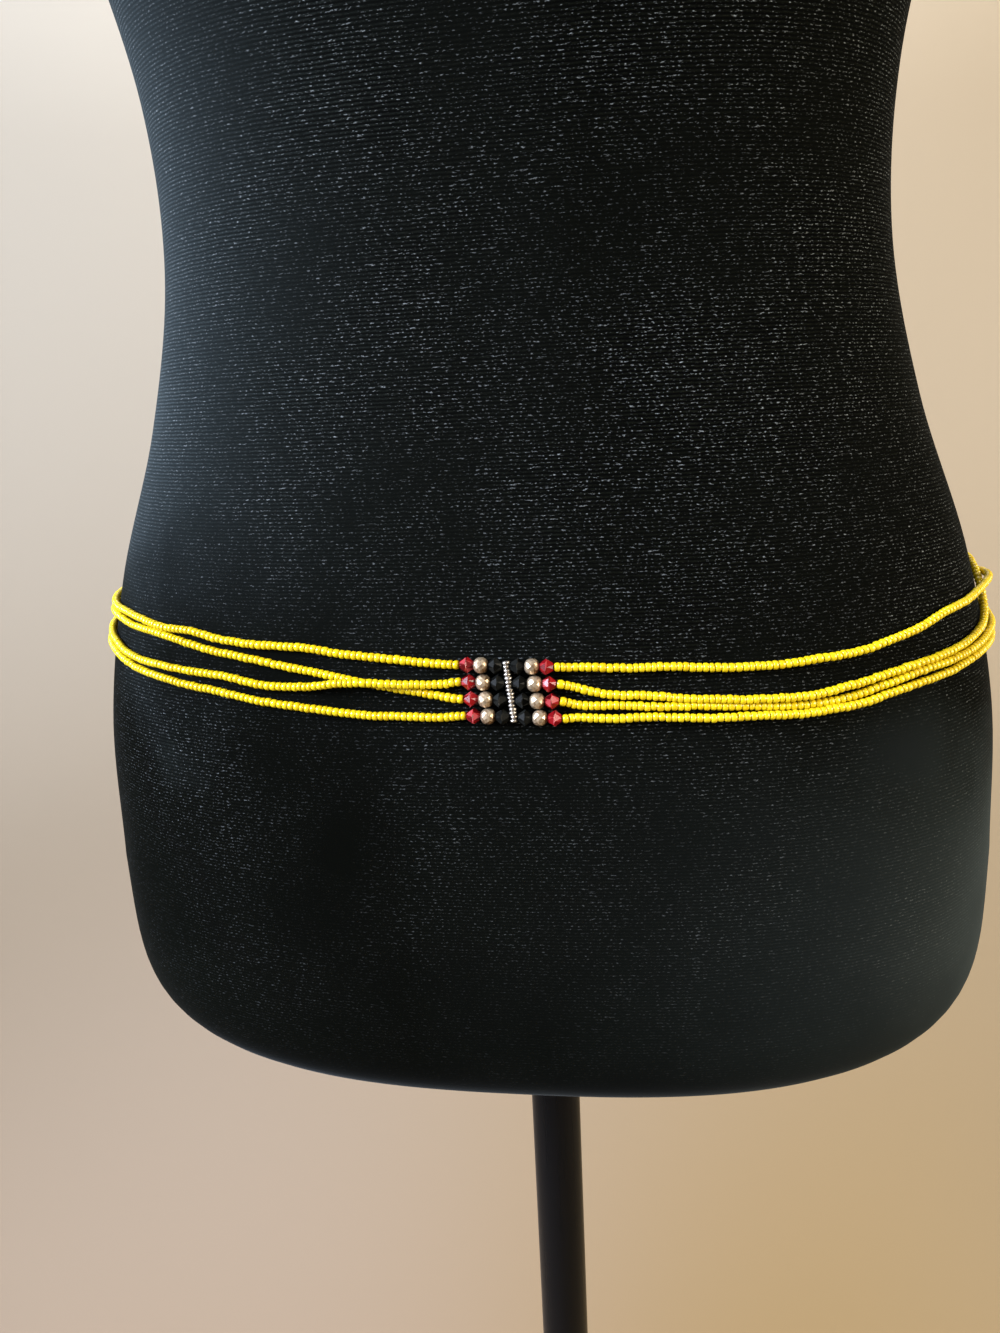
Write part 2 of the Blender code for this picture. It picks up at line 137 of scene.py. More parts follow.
RIGHT_ROUTES = (
    ((11, .1696, .0003), (18, .1690, 0), (26, .1683, 0), (34, .1677, 0), (41, .1678, 0), (48, .1691, 0),
     (56, .1730, 0), (62, .1762, .0002), (68, .1778, .0006), (74, .1788, .0018), (77, .1791, .0030),
     (80, .1790, .0032), (84, .1785, .0018), (90, .1778, .0003), (130, .1775, 0), (160, .1776, 0)),
    ((11, .1640, .0003), (16, .1616, 0), (21, .1606, 0), (28, .1594, .0005), (36, .1585, .0012),
     (41, .1582, .0012), (46, .1596, .0008), (51, .1614, 0), (56, .1629, 0), (62, .1643, 0), (68, .1660, 0),
     (72, .1678, 0), (75, .1706, 0), (77, .1743, 0), (79, .1784, 0), (82, .1822, 0), (88, .1835, 0),
     (110, .1830, 0), (135, .1820, 0), (160, .1810, 0)),
    ((11, .1588, .0003), (18, .1577, 0), (28, .1564, 0), (36, .1558, 0), (41, .1553, 0), (46, .1561, 0),
     (51, .1581, 0), (56, .1599, 0), (62, .1613, .0002), (68, .1631, .0008), (74, .1652, .0014),
     (80, .1668, .0006), (95, .1700, 0), (130, .1735, 0), (160, .1745, 0)),
    ((11, .1546, .0003), (18, .1541, 0), (28, .1536, .0012), (36, .1532, .0015), (41, .1527, .0013),
     (46, .1535, .0012), (51, .1551, .0006), (56, .1569, 0), (62, .1583, 0), (68, .1600, .0004),
     (74, .1618, .0008), (80, .1636, .0003), (95, .1668, 0), (130, .1704, 0), (160, .1714, 0)),
)
LEFT_BAR_ORDER = (1, 3, 2, 4)
RIGHT_BAR_ORDER = (2, 1, 3, 4)

# Grains per metre of each finish's pattern, from the real size of one grain
PILE_PATCHES = 14  # brushed patches of 70 mm
ORANGE_PEEL = 420  # peel of 2.4 mm
ENAMEL_SMEARS = 9  # wiped smears of 110 mm
DRAWN_MARKS = (600, 600, 12)  # draw marks 1.7 mm apart and 80 mm long
SEED_RIPPLES = 900  # ripples of 1.1 mm in the drawn glass
THREAD_TWISTS = 900  # a turn of the twist in every 0.7 mm
MIRROR_CLOUDS = 700  # clouds of 1.4 mm in the half mirror
SILVER_RUBBING = 1400  # tumbling marks of 0.1 mm, drawn as coarse as 0.7 mm so that they show
ROLLER_STIPPLE = 60  # roller marks of 3 mm, drawn as coarse as 17 mm so that they show


def linear(code):
    """Scene-linear red, green, blue and alpha of an sRGB hex colour such as #F2DC00."""
    shares = np.array([int(code[k:k + 2], 16) for k in (1, 3, 5)]) / 255
    light = np.where(shares <= 0.04045, shares / 12.92, ((shares + 0.055) / 1.055) ** 2.4)
    return (*light.tolist(), 1.0)


def length(name, description, default):
    return FloatProperty(name=name, description=description, default=default, min=0, precision=5,
                         unit="LENGTH")


def angle(name, description, degrees):
    return FloatProperty(name=name, description=description, default=radians(degrees), subtype="ANGLE")


def share(name, description, default):
    return FloatProperty(name=name, description=description, default=default, min=0, subtype="FACTOR")


def colour(name, description, code):
    return FloatVectorProperty(name=name, description=description, default=linear(code), size=4, min=0,
                               max=1, subtype="COLOR")


def count(name, description, default):
    return IntProperty(name=name, description=description, default=default, min=3)


def power(name, description, watts):
    return FloatProperty(name=name, description=description, default=watts, unit="POWER")


class FormSettings(bpy.types.PropertyGroup):
    """Cloth and stand of the dress form"""
    rings: count("Rings", "Rings of the velvet's mesh from the underside to the neck", 150)
    sides: count("Sides", "Points round each ring of the velvet's mesh", 288)
    rib: length("Rib Pitch", "Distance between the level ribs of the velvet", 0.00116)
    dash: length("Dash Length", "Length of the lighter dashes that the pile shows along a rib", 0.0024)
    glint: length("Glint Size", "Thickness of the single threads that catch the light", 0.00030)
    velvet: colour("Velvet", "Colour of the velvet between its ribs", "#020202")
    pile: colour("Pile", "Colour of the pile on the ribs", "#10120D")
    # Painted light: the pile on the flanks is painted in this lighter colour where light falls on them
    flank_painted_light: colour("Flank Painted Light", "Colour of the pile on the flanks, with its nap brushed open", "#31383A")
    # Painted highlights: the lit threads are glints painted in the velvet's colour
    thread: colour("Lit Thread", "Colour of the threads that catch the light", "#7A7F80")
    bloom: colour("Bloom", "Colour of the sheen where light grazes the pile", "#A8B2B8")
    enamel: colour("Enamel", "Stoved enamel of the neck cap and base", "#0B0B0C")
    steel: colour("Pole", "Glossy lacquer on the pole", "#080809")
    turn_steps: count("Turning Steps", "Points round the pole, the base and the cap", 96)


class BeadSettings(bpy.types.PropertyGroup):
    """Seed beads and their thread"""
    diameter: length("Bead Diameter", "Across a seed bead", 0.00275)
    pitch: length("Bead Pitch", "Middle of one seed bead to the middle of the next", 0.00187)
    spread: share("Size Spread", "How far the beads' thicknesses differ", 0.09)
    tilt: angle("Bead Tilt", "How far a bead leans on its thread", 3.5)
    wander: length("Wander", "How far a strand strays to the side of its route", 0.00022)
    wander_run: count("Wander Run", "Number of beads over which a strand strays and returns", 7)
    sides: count("Bead Sides", "Points round a seed bead", 10)
    thread: length("Thread Diameter", "Across the thread that fills the beads' holes", 0.0009)
    pale: colour("Pale Yellow", "Lightest opaque yellow among the beads", "#D8C012")
    deep: colour("Deep Yellow", "Deepest opaque yellow among the beads", "#CAAB06")
    cord: colour("Thread", "Colour of the thread", "#C9B24A")


class CrystalSettings(bpy.types.PropertyGroup):
    """Cut glass, silver beads and closure"""
    diameter: length("Crystal Diameter", "Across a cut glass bead", 0.00495)
    length: length("Crystal Length", "Along a cut glass bead", 0.00420)
    silver_diameter: length("Silver Bead Diameter", "Across a silver bead of the column", 0.00240)
    silver_count: count("Silver Beads", "Number of silver beads in the column", 16)
    red: colour("Red Glass", "Body of the red crystals", "#98141B")
    # Painted reflections: random facets of the red crystals are painted pink or nearly black
    red_painted_glint: colour("Red Painted Glint", "Facets of the red crystals that send light back", "#BC5054")
    red_painted_dark: colour("Red Painted Dark", "Facets of the red crystals that send back little", "#4A0509")
    # Painted light and shade: the champagne colour goes on facets turned to the light, the shade colour on
    # those turned away
    champagne: colour("Champagne", "Half mirror on the champagne crystals", "#CDB99C")
    champagne_painted_shade: colour("Champagne Painted Shade", "Clear side of the champagne crystals", "#6E5031")
    jet: colour("Jet", "Black glass", "#030303")
    # Painted reflections: random facets of the black glass are painted a little lighter
    jet_painted_reflection: colour("Jet Painted Reflection", "Facets of the black glass that show a little light", "#1A1B19")
    silver: colour("Silver", "Silver lining and plating", "#B8AEA1")


class StageSettings(bpy.types.PropertyGroup):
    """Studio, lights and camera"""
    room: length("Room Radius", "From the pole to the studio wall", 4.2)
    cove: length("Cove Radius", "Round corner between floor and wall", 2.0)
    wall: length("Wall Height", "Top of the studio wall", 5.0)
    # Painted light and shade: the studio's plaster is pale and cool to the left and far off, warm tan to the
    # right and near the form
    wall_left: colour("Wall Left", "Plaster high on the left", "#D4D6D9")
    wall_right: colour("Wall Right", "Plaster high on the right", "#D4C5AE")
    floor_left: colour("Floor Left", "Plaster of the floor on the left", "#876F51")
    floor_right: colour("Floor Right", "Plaster of the floor on the right", "#7D6333")
    lens: FloatProperty(name="Lens", description="Focal length on a sensor 36 mm along its long side",
                        default=27.03, min=1)
    place: FloatVectorProperty(name="Camera Place", description="Where the camera stands", size=3,
                               default=(0.0414, -0.3932, 0.9471), subtype="TRANSLATION", unit="LENGTH")
    pitch: angle("Camera Pitch", "How far the camera looks down", 14.99)
    roll: angle("Camera Roll", "How far the camera is turned round its own axis", 2.945)
    yaw: angle("Camera Yaw", "How far the camera looks towards +X", -8.268)
    window: power("Window", "Cool light from the upper left", 40)
    lamp: power("Lamp", "Warm light from the right", 15)
    ceiling: power("Ceiling", "Soft light from above", 50)
    wash: power("Wall Wash", "Light on the wall behind the form", 88)
    air: FloatProperty(name="Air", description="Strength of the light from all round", default=0.5, min=0)


def add_node(tree, kind, inputs=None, out=None, **settings):
    """Adds a node with its settings and its inputs, each a value or the output it is linked from."""
    made = tree.nodes.new("ShaderNode" + kind)
    for name, value in settings.items():
        setattr(made, name, value)
    sockets = {socket.identifier: socket for socket in made.inputs}
    for name, value in (inputs or {}).items():
        if isinstance(value, bpy.types.NodeSocket):
            tree.links.new(value, sockets[name])
        else:
            sockets[name].default_value = value
    shown = [socket for socket in made.outputs if socket.enabled]
    return made.outputs[out] if out else next(iter(shown), None)


def make_finish(name, surface, look):
    """Material with the surface that a function below works out from the look's sizes and colours."""
    finish = bpy.data.materials.new(name)
    finish.use_nodes = True
    finish.node_tree.nodes.clear()
    node = partial(add_node, finish.node_tree)
    node("OutputMaterial", {"Surface": surface(node, look)})
    return finish


def knitted_velvet(node, look):
    """Stretch velvet: black polyester pile sheared short on a warp knit. It gives the eye near black with
    level ribs of short dashes and a cool bloom where light grazes the standing pile. Single lit threads are
    painted highlights in its colour, and its flanks are painted lighter where light falls on them, the right
    one low down and the left one high up. The real threads are some 0.02 mm thick, and the lit ones are
    drawn as coarse as they need to show."""
    across = node("SeparateXYZ", {"Vector": node("TexCoord", out="Object")})
    along = node("SeparateXYZ", {"Vector": node("UVMap", uv_map="cloth")}, "Y")
    cloth = node("CombineXYZ", {"X": across, "Y": across.node.outputs["Y"], "Z": along})
    stray = node("TexNoise", {"Vector": cloth, "Scale": 0.4 / look.dash, "Detail": 2})
    wander = node("Math", {"Value": stray, "Value_001": 2.4}, operation="MULTIPLY")
    turns = node("Math", {"Value": along, "Value_001": 2 * pi / look.rib, "Value_002": wander},
                 operation="MULTIPLY_ADD")
    wave = node("Math", {"Value": turns}, operation="SINE")
    rib = node("MapRange", {"Value": wave, "From Min": -0.5, "From Max": 0.9})
    dash_scale = (1 / look.dash, 1 / look.dash, 1 / look.rib)
    dash_place = node("Mapping", {"Vector": cloth, "Scale": dash_scale})
    dash_noise = node("TexNoise", {"Vector": dash_place, "Scale": 1.3, "Detail": 4, "Roughness": 0.8})
    dash = node("MapRange", {"Value": dash_noise, "From Min": 0.32, "From Max": 0.68})
    knit = node("Math", {"Value": rib, "Value_001": dash}, operation="MULTIPLY")
    height = across.node.outputs["Z"]
    # The ribs and the painted glints fade out towards the underside
    rib_growth = node("MapRange", {"Value": height, "From Min": RIBS_FAINT, "From Max": RIBS_FULL, "To Min": 0.10,
                             "To Max": 1})
    patch = node("TexNoise", {"Vector": cloth, "Scale": PILE_PATCHES, "Detail": 3})
    loose = node("MapRange", {"Value": patch, "From Min": 0.3, "From Max": 0.6})
    depth = node("Math", {"Value": rib_growth, "Value_001": loose}, operation="MULTIPLY")
    pile = node("Mix", {"Factor_Float": depth, "A_Float": 0.35, "B_Float": knit}, data_type="FLOAT")
    # Painted highlights: single lit threads as glints painted in the colour, on the ribs
    speck_scale = (0.4 / look.glint, 0.4 / look.glint, 1 / look.glint)
    speck_place = node("Mapping", {"Vector": cloth, "Scale": speck_scale})
    speck_noise = node("TexNoise", {"Vector": speck_place, "Scale": 0.8, "Detail": 1})
    speck = node("MapRange", {"Value": speck_noise, "From Min": 0.60, "From Max": 0.78})
    strength = node("Math", {"Value": rib, "Value_001": depth}, operation="MULTIPLY")
    lit = node("Math", {"Value": speck, "Value_001": strength}, operation="MULTIPLY")
    # Painted side light: the right flank low down and the left one high up take a lighter pile colour, and
    # more of it; the nap and brushed names below stand for this painted light
    facing = node("SeparateXYZ", {"Vector": node("TexCoord", out="Normal")}, "X")
    ragged_height = node("Math", {"Value": patch, "Value_001": 0.14, "Value_002": height},
                   operation="MULTIPLY_ADD")
    lean = node("MapRange", {"Value": ragged_height, "From Min": LIT_RIGHT_BELOW, "From Max": LIT_LEFT_ABOVE, "To Min": 1,
                             "To Max": -1}, interpolation_type="SMOOTHSTEP")
    brushed = node("Math", {"Value": facing, "Value_001": lean}, operation="MULTIPLY")
    flank = node("MapRange", {"Value": brushed, "From Min": -0.05, "From Max": 0.9})
    nap = node("Mix", {"Factor_Float": flank, "A_Color": look.pile, "B_Color": look.flank_painted_light},
               data_type="RGBA")
    valley = node("Math", {"Value": flank, "Value_001": 0.6, "Value_002": pile}, operation="MULTIPLY_ADD",
                  use_clamp=True)
    ground = node("Mix", {"Factor_Float": valley, "A_Color": look.velvet, "B_Color": nap}, data_type="RGBA")
    cloud = node("MapRange", {"Value": patch, "From Min": 0.3, "From Max": 0.7, "To Min": 0.7,
                              "To Max": 1.3})
    uneven = node("VectorMath", {"Vector": ground, "Scale": cloud}, operation="SCALE")
    # Painted highlights: the glints are mixed into the base colour here
    tone = node("Mix", {"Factor_Float": lit, "A_Color": uneven, "B_Color": look.thread}, data_type="RGBA")
    relief = node("Bump", {"Height": pile, "Strength": 0.5, "Distance": look.rib / 5})
    return node("BsdfPrincipled", {"Base Color": tone, "Roughness": 0.85, "Specular IOR Level": 0.01,
                                   "Normal": relief, "Sheen Weight": 0.09, "Sheen Roughness": 0.26,
                                   "Sheen Tint": look.bloom})


def stoved_enamel(node, look):
    """Black stoved enamel on pressed steel: a hard gloss with a faint orange peel."""
    place = node("TexCoord", out="Object")
    peel = node("TexNoise", {"Vector": place, "Scale": ORANGE_PEEL, "Detail": 1})
    smears = node("TexNoise", {"Vector": place, "Scale": ENAMEL_SMEARS, "Detail": 5, "Roughness": 0.65})
    gloss = node("MapRange", {"Value": smears, "To Min": 0.18, "To Max": 0.42})
    tone = node("Mix", {"Factor_Float": smears, "A_Color": look.enamel, "B_Color": look.steel},
                data_type="RGBA")
    relief = node("Bump", {"Height": peel, "Strength": 0.12, "Distance": 0.0003})
    return node("BsdfPrincipled", {"Base Color": tone, "Roughness": gloss, "IOR": 1.5, "Normal": relief})


def lacquered_tube(node, look):
    """Drawn steel tube under black lacquer: deep gloss with faint marks drawn along the tube."""
    place = node("TexCoord", out="Object")
    drawn = node("Mapping", {"Vector": place, "Scale": DRAWN_MARKS})
    marks = node("TexNoise", {"Vector": drawn, "Scale": 1, "Detail": 3})
    gloss = node("MapRange", {"Value": marks, "To Min": 0.22, "To Max": 0.36})
    tone = node("Mix", {"Factor_Float": marks, "A_Color": look.steel, "B_Color": look.enamel},
                data_type="RGBA")
    return node("BsdfPrincipled", {"Base Color": tone, "Roughness": gloss, "IOR": 1.5,
                                   "Specular IOR Level": 0.12})


def opaque_yellow_glass(node, look):
    """Drawn and tumbled opaque glass: saturated yellow through the body with a soft rounded gloss."""
    place = node("TexCoord", out="Object")
    tint = node("Attribute", out="Fac", attribute_name="tint")
    uneven = node("TexNoise", {"Vector": place, "Scale": SEED_RIPPLES, "Detail": 2})
    gloss = node("MapRange", {"Value": uneven, "To Min": 0.16, "To Max": 0.34})
    tone = node("Mix", {"Factor_Float": tint, "A_Color": look.deep, "B_Color": look.pale}, data_type="RGBA")
    relief = node("Bump", {"Height": uneven, "Strength": 0.08, "Distance": 0.0001})
    return node("BsdfPrincipled", {"Base Color": tone, "Roughness": gloss, "IOR": 1.52, "Normal": relief})


def twisted_thread(node, look):
    """Twisted nylon beading thread: dull yellow with a fine slanting twist."""
    place = node("TexCoord", out="Object")
    twist = node("TexWave", {"Vector": place, "Scale": THREAD_TWISTS, "Distortion": 1.5}, "Fac",
                 bands_direction="DIAGONAL")
    tone = node("Mix", {"Factor_Float": twist, "A_Color": look.cord, "B_Color": look.deep},
                data_type="RGBA")
    return node("BsdfPrincipled", {"Base Color": tone, "Roughness": 0.55})


def cut_red_glass(node, look):
    """Machine-cut red glass: clear body, with random facets painted pink as reflections and others painted
    nearly black.
    """
    facet = node("Attribute", out="Fac", attribute_name="facet")
    lower = node("MapRange", {"Value": facet, "From Max": 0.55})
    upper = node("MapRange", {"Value": facet, "From Min": 0.72})
    body = node("Mix", {"Factor_Float": lower, "A_Color": look.red_painted_dark, "B_Color": look.red},
                data_type="RGBA")
    tone = node("Mix", {"Factor_Float": upper, "A_Color": body, "B_Color": look.red_painted_glint},
                data_type="RGBA")
    return node("BsdfPrincipled", {"Base Color": tone, "Roughness": 0.2, "IOR": 1.56,
                                   "Specular IOR Level": 0.1, "Transmission Weight": 0.25})


def champagne_glass_with_painted_light(node, look):
    """Fire-polished glass with a champagne mirror coat: bright soft facets beside warm brown ones, painted
    lighter on the side turned to the light and painted as shade on the other.
    """
    facet = node("Attribute", out="Fac", attribute_name="facet")
    place = node("TexCoord", out="Object")
    cloud = node("TexNoise", {"Vector": place, "Scale": MIRROR_CLOUDS, "Detail": 2})
    # Painted light: the facet number mostly says how far the facet turns to the light
    mixed = node("Math", {"Value": cloud, "Value_001": 0.5, "Value_002": facet}, operation="MULTIPLY_ADD")
    amount = node("MapRange", {"Value": mixed, "From Min": 0.60, "From Max": 0.98})
    tone = node("Mix", {"Factor_Float": amount, "A_Color": look.champagne_painted_shade, "B_Color": look.champagne},
                data_type="RGBA")
    gloss = node("MapRange", {"Value": cloud, "To Min": 0.26, "To Max": 0.42})
    return node("BsdfPrincipled", {"Base Color": tone, "Metallic": 0.75, "Roughness": gloss,
                                   "Coat Weight": 0.2, "Coat Roughness": 0.1})


def cut_jet_glass(node, look):
    """Machine-cut black glass: a body without light, whose facets differ in gloss and some are painted a
    little lighter as reflections, but give no glint.
    """
    facet = node("Attribute", out="Fac", attribute_name="facet")
    gloss = node("MapRange", {"Value": facet, "To Min": 0.12, "To Max": 0.50})
    tone = node("Mix", {"Factor_Float": facet, "A_Color": look.jet, "B_Color": look.jet_painted_reflection},
                data_type="RGBA")
    return node("BsdfPrincipled", {"Base Color": tone, "Roughness": gloss, "IOR": 1.56,
                                   "Specular IOR Level": 0.03})


def plated_silver(node, look):
    """Silver plating on brass, tumbled bright: soft reflections with fine rubbing."""
    place = node("TexCoord", out="Object")
    rubbing = node("TexNoise", {"Vector": place, "Scale": SILVER_RUBBING, "Detail": 3})
    gloss = node("MapRange", {"Value": rubbing, "To Min": 0.28, "To Max": 0.46})
    tone = node("Mix", {"Factor_Float": rubbing, "A_Color": look.silver, "B_Color": linear("#DDD8D0")},
                data_type="RGBA")
    return node("BsdfPrincipled", {"Base Color": tone, "Metallic": 1.0, "Roughness": gloss})


def smooth(x, xs, ys):
    """Cubic Hermite through the points (xs, ys), with each point's slope taken from its two neighbours."""
    xs, ys = np.asarray(xs, float), np.asarray(ys, float)
    slope = np.gradient(ys, xs)
    i = np.clip(np.searchsorted(xs, x) - 1, 0, len(xs) - 2)
    step = xs[i + 1] - xs[i]
    t = (x - xs[i]) / step
    near, far = (1 + 2 * t) * (1 - t) ** 2, t * t * (3 - 2 * t)
    leaving, arriving = t * (1 - t) ** 2, t * t * (t - 1)
    return ys[i] * near + ys[i + 1] * far + step * (slope[i] * leaving + slope[i + 1] * arriving)


def underside_factor(height):
    """Share of its full size that a section has where the underside rounds away: a superellipse quarter."""
    below = np.clip(1 - np.asarray(height, float) / UNDERSIDE_ROUND, 0, 1)
    return np.maximum(1 - below ** UNDERSIDE_POWER, 0) ** (1 / UNDERSIDE_POWER)


def section(height):
    """Half width, front depth, back depth and squareness of the form at a height over its underside."""
    rows = np.array(FORM_SECTIONS)
    held = np.maximum(np.asarray(height, float), rows[0, 0])
    width, front, back, square = (smooth(held, rows[:, 0], rows[:, k]) for k in range(1, len(FORM_COLUMNS)))
    shrink = underside_factor(height)
    return width * shrink, front * shrink, back * shrink, square


def form_point(turn, height):
    """Point of the form: a superellipse section read at a turn in radians from the front, where the radius
    is the -1/n power of the sum of the n-th powers of sine over half width and cosine over depth."""
    width, front, back, square = section(height)
    depth = np.where(np.cos(turn) > 0, front, back)
    side, ahead = np.abs(np.sin(turn) / width), np.abs(np.cos(turn) / depth)
    radius = (side ** square + ahead ** square) ** (-1 / square)
    level = np.broadcast_to(UNDERSIDE + height, radius.shape)
    return np.stack([radius * np.sin(turn), -radius * np.cos(turn), level], axis=-1)


def form_normal(turn, height, step=1e-4):
    """Outward unit normal of the form: the cross product of its slopes round and up."""
    around = form_point(turn + step, height) - form_point(turn - step, height)
    upward = form_point(turn, height + step) - form_point(turn, height - step)
    return unit(np.cross(around, upward))


def on_form(turn, height, clear):
    """Point that stands clear of the form by a distance along its normal."""
    turn, height = np.asarray(turn, float), np.asarray(height, float)
    return form_point(turn, height) + form_normal(turn, height) * np.asarray(clear)[..., None]


def unit(vectors):
    return vectors / np.linalg.norm(vectors, axis=-1, keepdims=True)


def squared(vectors, direction):
    """Unit vectors square to a unit direction: what they have along it is taken away."""
    return unit(vectors - direction * np.sum(vectors * direction, axis=-1, keepdims=True))


FRONT_RADIUS = float(section(CENTRE_HEIGHT)[1])
BACK_RADIUS = float(section(BAR_HEIGHT)[2])
SEED_REST = SOLID_SEED_RADIUS + GAP
CRYSTAL_REST = SOLID_CRYSTAL_RADIUS + GAP
BAR_REST = BAR_DEPTH / 2 + GAP
CRYSTAL_STEP = SOLID_CRYSTAL_LENGTH + GAP
ROW_START = SOLID_COLUMN_RADIUS + GAP + SOLID_CRYSTAL_LENGTH / 2
STRAND_START = ROW_START + 2 * CRYSTAL_STEP + SOLID_CRYSTAL_LENGTH / 2 + GAP
STRAND_END = BAR_OUTER + GAP


def row_place(row, along):
    """Turn and height on row 0 to 3 at a distance from the column, positive towards +X."""
    down = (row - (ROW_COUNT - 1) / 2) * ROW_PITCH
    across = along + down * tan(radians(COLUMN_LEAN))
    turn = radians(CENTRE_ANGLE) + across / FRONT_RADIUS
    return turn, CENTRE_HEIGHT - down - along * tan(radians(ROW_DROP))


def strand_route(row, side, spacing=0.0005):
    """Centre line of one half strand and the form's normals along it, from its crystals round to the bar."""
    table = (LEFT_ROUTES if side < 0 else RIGHT_ROUTES)[row]
    order = LEFT_BAR_ORDER if side < 0 else RIGHT_BAR_ORDER
    starts = [(*row_place(row, side * (STRAND_START + run)), CRYSTAL_REST - SEED_REST) for run in (0, 0.001)]
    turns = [(radians(turn), height, lift) for turn, height, lift in table]
    hole = BAR_HEIGHT + ((ROW_COUNT - 1) / 2 - order.index(row + 1)) * BAR_PITCH
    ends = [(side * (pi - atan(away / BACK_RADIUS)), hole, BAR_REST - SEED_REST)
            for away in (STRAND_END + BAR_THICK, STRAND_END)]
    rows = np.array(starts + turns + ends)
    rough = on_form(rows[:, 0], rows[:, 1], SEED_REST + rows[:, 2])
    travelled = path_length(rough)
    stations = np.linspace(0, travelled[-1], int(travelled[-1] / spacing))
    turn, height, lift = (smooth(stations, travelled, rows[:, k]) for k in range(len(ROUTE_COLUMNS)))
    return on_form(turn, height, SEED_REST + np.maximum(lift, 0)), form_normal(turn, height)


def path_length(points):
    """Distance travelled along a line of points, at each point."""
    return np.concatenate([[0], np.cumsum(np.linalg.norm(np.diff(points, axis=0), axis=1))])


def frames_along(points, outward, stations):
    """Centre, direction, outward and across at distances along a line, the last three at right angles."""
    travelled = path_length(points)
    def at(values):
        return np.stack([np.interp(stations, travelled, values[:, k]) for k in range(3)], axis=-1)
    direction = unit(at(np.gradient(points, axis=0)))
    square = squared(at(outward), direction)
    return at(points), direction, square, np.cross(direction, square)


def leaned(rng, places, amount):
    """The same places, each leaned at random both ways by an angle whose usual size is given in radians."""
    centre, direction, square, across = places
    lean = tan(amount) * rng.standard_normal((len(centre), 2))
    direction = unit(direction + lean[:, :1] * square + lean[:, 1:] * across)
    square = squared(square, direction)
    return centre, direction, square, np.cross(direction, square)


def threaded(places, lengths, radii, profile, sides, offsets=None):
    """Rings of beads on a line. A bead's point is its centre, plus its length times the profile's first
    number along the line, plus its radius times the second, turned round the line by the side's angle."""
    centre, direction, outward, across = places
    offsets = np.zeros(len(profile)) if offsets is None else offsets
    turn = 2 * pi * (np.arange(sides)[None, :] + offsets[:, None]) / sides
    along = (lengths[:, None] * profile[None, :, 0])[:, :, None, None] * direction[:, None, None, :]
    reach = (radii[:, None] * profile[None, :, 1])[:, :, None, None]
    round_ = np.cos(turn)[None, :, :, None] * outward[:, None, None, :]
    round_ = round_ + np.sin(turn)[None, :, :, None] * across[:, None, None, :]
    return centre[:, None, None, :] + along + reach * round_


def grid_quads(rows, columns, closed=False):
    """Corner numbers of a grid's quads. Its columns close round; closed joins its last row to its first."""
    corner = np.arange(rows * columns).reshape(rows, columns)
    if closed:
        corner = np.vstack([corner, corner[:1]])
    beside = np.roll(corner, -1, axis=1)
    return np.stack([corner[:-1], beside[:-1], beside[1:], corner[1:]], axis=-1).reshape(-1, 4)


def capped(grid):
    """Points and faces of a tube-like grid of rings that is closed by a fan at both ends."""
    rows, columns = grid.shape[:2]
    first, last = rows * columns, rows * columns + 1
    points = np.vstack([grid.reshape(-1, 3), grid[0].mean(axis=0), grid[-1].mean(axis=0)])
    ring = np.arange(columns)
    beside, top = np.roll(ring, -1), ring + (rows - 1) * columns
    low = np.stack([np.full(columns, first), beside, ring], axis=-1)
    high = np.stack([np.full(columns, last), top, np.roll(top, -1)], axis=-1)
    return points, grid_quads(rows, columns).tolist() + low.tolist() + high.tolist()


def strung(places, lengths, radii, outline, sides, core_radius, core_sides):
    """Beads and the core through their holes in one mesh: first every bead as rings that join the last to
    the first, and then a tube with capped ends through the beads' centres."""
    number, per_bead = len(radii), len(outline) * sides
    beads = threaded(places, lengths, radii, outline, sides).reshape(-1, 3)
    quads = grid_quads(len(outline), sides, closed=True) + per_bead * np.arange(number)[:, None, None]
    core = threaded(places, np.zeros(number), np.full(number, core_radius), np.array([(0, 1.0)]), core_sides)
    core_points, core_faces = capped(core[:, 0])
    faces = quads.reshape(-1, 4).tolist() + [[corner + len(beads) for corner in face] for face in core_faces]
    return np.vstack([beads, core_points]), faces


def turned(profile, steps, centre=(0, 0, 0), axis=(0, 0, 1), knurl=None):
    """Rings of a shape turned round an axis: radius and height from the profile's rows, first row lowest.
    A knurl multiplies each ring's radius by 1 plus its depth times the cosine of its count of ridges."""
    profile = np.asarray(profile, float)
    turn = 2 * pi * np.arange(steps) / steps
    radius = np.broadcast_to(profile[:, :1], (len(profile), steps))
    if knurl is not None:
        depth, ridges = knurl
        radius = radius * (1 + np.asarray(depth)[:, None] * np.cos(ridges * turn)[None, :])
    level = np.broadcast_to(profile[:, 1:2], radius.shape)
    grid = np.stack([radius * np.cos(turn), radius * np.sin(turn), level], axis=-1)
    facing = np.array(Vector(axis).to_track_quat("Z", "Y").to_matrix())
    return grid @ facing.T + np.asarray(centre, float)


def arc(centre, radii, start, end, points=8):
    """Points on an arc of an ellipse in a profile's plane, between two angles in degrees."""
    turn = np.radians(np.linspace(start, end, points))
    return list(zip(centre[0] + radii[0] * np.cos(turn), centre[1] + radii[1] * np.sin(turn)))


def foot(radius, bottom, edge, points=4):
    """Start of a turned profile: out along its bottom and up round a small quarter circle at the edge."""
    return [(radius * 0.5, bottom)] + arc((radius - edge, bottom + edge), (edge, edge), -90, 0, points)


